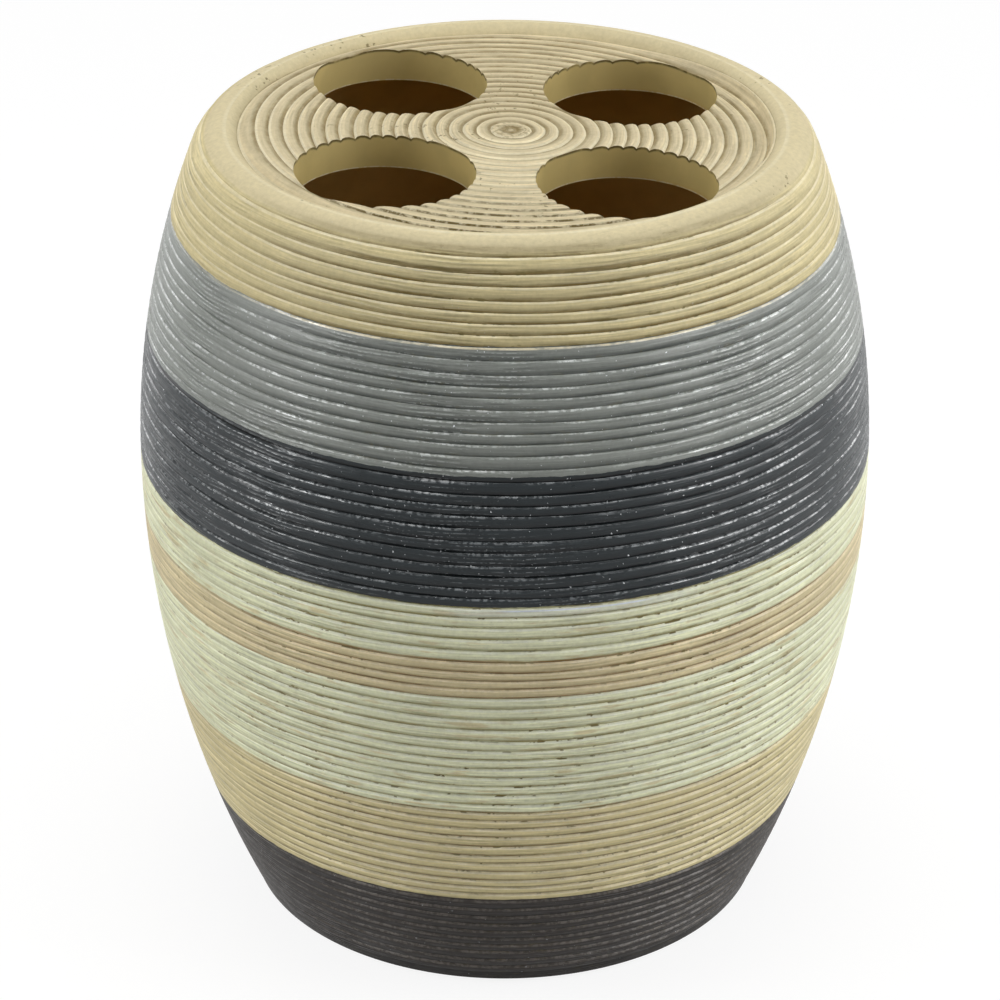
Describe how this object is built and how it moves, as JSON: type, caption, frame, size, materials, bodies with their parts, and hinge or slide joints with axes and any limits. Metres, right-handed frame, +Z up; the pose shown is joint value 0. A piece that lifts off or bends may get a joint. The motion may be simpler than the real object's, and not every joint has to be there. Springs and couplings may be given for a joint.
{
  "type": "toothbrush holder",
  "caption": "Barrel-shaped ribbed resin holder with round holes in its flat top that keep toothbrushes upright; a glued base disc on foam pads closes it underneath.",
  "frame": {"origin": "centre of the plane that the four pads rest on", "axes": "+Z up along the barrel's axis; the brush holes lie on the diagonals between X and Y; +X to the right when seen from the front (-Y)"},
  "size_m": [0.1, 0.1, 0.1126],
  "materials": {
    "painted_resin": "matte painted cast resin in bands of cream, grey, slate, pale green, tan and dark brown",
    "base_resin": "matte cast resin, sanded flat",
    "epoxy": "cured clear amber glue",
    "foam_pad": "matte closed-cell foam"
  },
  "bodies": {
    "root": {"body_shell": "painted_resin", "base_plate": "base_resin", "bond_bead": "epoxy", "foot_1": "foam_pad", "foot_2": "foam_pad", "foot_3": "foam_pad", "foot_4": "foam_pad"}
  },
  "joints": []
}
